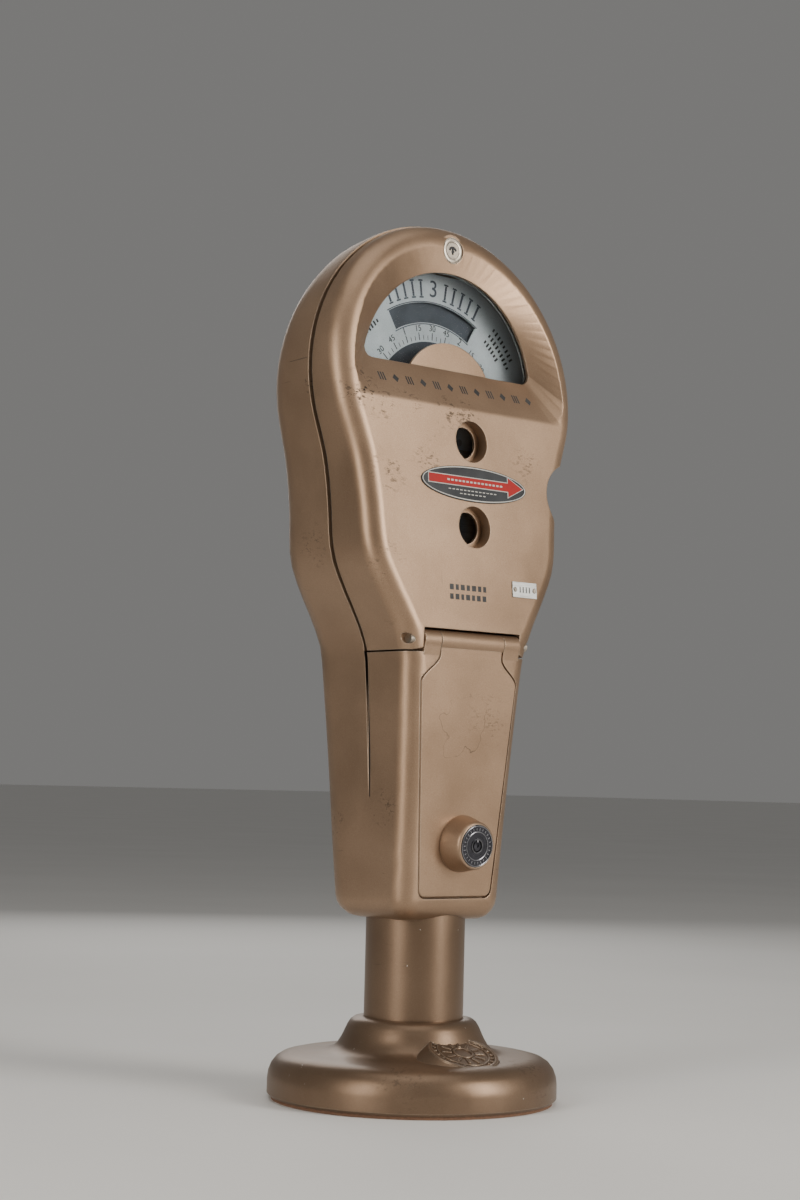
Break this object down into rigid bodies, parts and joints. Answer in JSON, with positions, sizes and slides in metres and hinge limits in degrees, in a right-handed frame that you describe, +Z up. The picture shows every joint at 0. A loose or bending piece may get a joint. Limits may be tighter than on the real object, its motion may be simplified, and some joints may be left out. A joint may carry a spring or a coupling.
{
  "type": "parking meter",
  "caption": "Coin parking meter head with arched dial window, coin vault with hinged door and locks, on a short pipe post and round cast base.",
  "frame": {"origin": "centre of the underside of the base, on the axis of the pipe post", "axes": "+Z up along the post, -Y out of the dial face, +X to the right seen from the front"},
  "size_m": [0.1948, 0.175, 0.5344],
  "materials": {
    "cast_paint": "satin metallic champagne enamel",
    "pad_rubber": "matt brown",
    "gasket_rubber": "matt black",
    "zinc_steel": "zinc plated",
    "brass": "satin",
    "clear_glass": "clear",
    "dial_enamel": "satin light grey print",
    "black_enamel": "satin black",
    "flag_enamel": "matt slate",
    "label_enamel": "printed enamel",
    "tag_aluminium": "satin",
    "lock_chrome": "dark polished",
    "nickel": "satin nickel",
    "spring_steel": "blued"
  },
  "bodies": {
    "pedestal": {"base_pad": "pad_rubber", "base_flange": "cast_paint", "base_set_screw": "zinc_steel", "post": "cast_paint", "post_anchor": "zinc_steel", "anchor_bolts": "zinc_steel", "rear_housing": "cast_paint", "cover_gasket": "gasket_rubber", "hinge_pin": "nickel", "coin_slot_plate": "nickel", "coin_chute": "zinc_steel", "rear_window": "clear_glass", "rear_window_frame": "zinc_steel", "movement_front_plate": "brass", "movement_back_plate": "brass", "movement_pillars": "zinc_steel", "movement_screws": "zinc_steel", "dial_plate": "dial_enamel", "dial_screws": "nickel"},
    "cover": {"front_cover": "cast_paint", "window": "clear_glass", "window_frame": "zinc_steel", "window_screws": "zinc_steel", "hub_shield": "cast_paint", "view_lenses": "clear_glass", "lens_rings": "cast_paint", "instruction_plate": "label_enamel", "number_plate": "tag_aluminium", "plate_rivets": "nickel", "cover_lock_cylinder": "nickel", "cover_lock_nut": "zinc_steel"},
    "cover_lock": {"cover_lock_plug": "nickel", "cover_lock_cam": "zinc_steel"},
    "door": {"vault_door": "cast_paint", "vault_lock_collar": "cast_paint", "vault_lock_cylinder": "lock_chrome", "vault_lock_nut": "zinc_steel"},
    "door_lock": {"vault_lock_plug": "lock_chrome", "vault_lock_cam": "zinc_steel"},
    "cash_box": {"coin_box": "zinc_steel", "coin_box_lid": "zinc_steel", "coin_box_handle": "zinc_steel"},
    "dial_arbor": {"time_wheel": "brass", "pointer": "black_enamel"},
    "second_arbor": {"second_wheel": "brass"},
    "escape_arbor": {"escape_wheel": "brass"},
    "pallet_arbor": {"pallet_lever": "zinc_steel"},
    "balance_staff": {"balance_wheel": "brass", "hairspring": "spring_steel", "hairspring_collet": "brass"},
    "barrel": {"mainspring_barrel": "brass"},
    "flag": {"violation_flag": "flag_enamel"}
  },
  "joints": [
    {"name": "cover_tilt", "type": "hinge", "parent": "pedestal", "child": "cover", "pos_m": [0, -0.0415, 0.275], "axis": [1, 0, 0], "range_deg": [0, 45]},
    {"name": "cover_lock_turn", "type": "hinge", "parent": "cover", "child": "cover_lock", "pos_m": [0, -0.01, 0.518], "axis": [0, 1, 0], "range_deg": [-90, 0]},
    {"name": "door_swing", "type": "hinge", "parent": "pedestal", "child": "door", "pos_m": [0, -0.0415, 0.275], "axis": [-1, 0, 0], "range_deg": [0, 66]},
    {"name": "door_lock_turn", "type": "hinge", "parent": "door", "child": "door_lock", "pos_m": [0.002, -0.03745, 0.155], "axis": [0, -0.9973, -0.0728], "range_deg": [-90, 0]},
    {"name": "coin_box_slide", "type": "slide", "parent": "pedestal", "child": "cash_box", "axis": [0, -1, 0], "range_m": [0, 0.046]},
    {"name": "pointer_sweep", "type": "hinge", "parent": "pedestal", "child": "dial_arbor", "pos_m": [0, 0.02, 0.418], "axis": [0, 1, 0], "range_deg": [0, 150]},
    {"name": "second_turn", "type": "hinge", "parent": "pedestal", "child": "second_arbor", "pos_m": [0.01407, 0.02, 0.38486], "axis": [0, 1, 0], "range_deg": [-755, 5]},
    {"name": "escape_turn", "type": "hinge", "parent": "pedestal", "child": "escape_arbor", "pos_m": [-0.00497, 0.02, 0.37599], "axis": [0, 1, 0], "range_deg": [-5, 3005]},
    {"name": "barrel_turn", "type": "hinge", "parent": "pedestal", "child": "barrel", "pos_m": [-0.04806, 0.02, 0.40422], "axis": [0, 1, 0], "range_deg": [-230, 5]},
    {"name": "pallet_rock", "type": "hinge", "parent": "pedestal", "child": "pallet_arbor", "pos_m": [-0.02218, 0.02, 0.37072], "axis": [0, 1, 0], "range_deg": [-2, 2]},
    {"name": "balance_swing", "type": "hinge", "parent": "pedestal", "child": "balance_staff", "pos_m": [-0.03939, 0.02, 0.36546], "axis": [0, 1, 0], "range_deg": [-120, 120], "stiffness_Nm_per_rad": 0.0001},
    {"name": "flag_drop", "type": "hinge", "parent": "pedestal", "child": "flag", "pos_m": [0, 0.02, 0.418], "axis": [0, 1, 0], "range_deg": [0, 64]}
  ],
  "couplings": [
    {"joint": "coin_box_slide", "follows": "door_swing", "m_per_rad": 0.0395},
    {"joint": "second_turn", "follows": "pointer_sweep", "ratio": -5},
    {"joint": "escape_turn", "follows": "pointer_sweep", "ratio": 20},
    {"joint": "barrel_turn", "follows": "pointer_sweep", "ratio": -1.5}
  ]
}
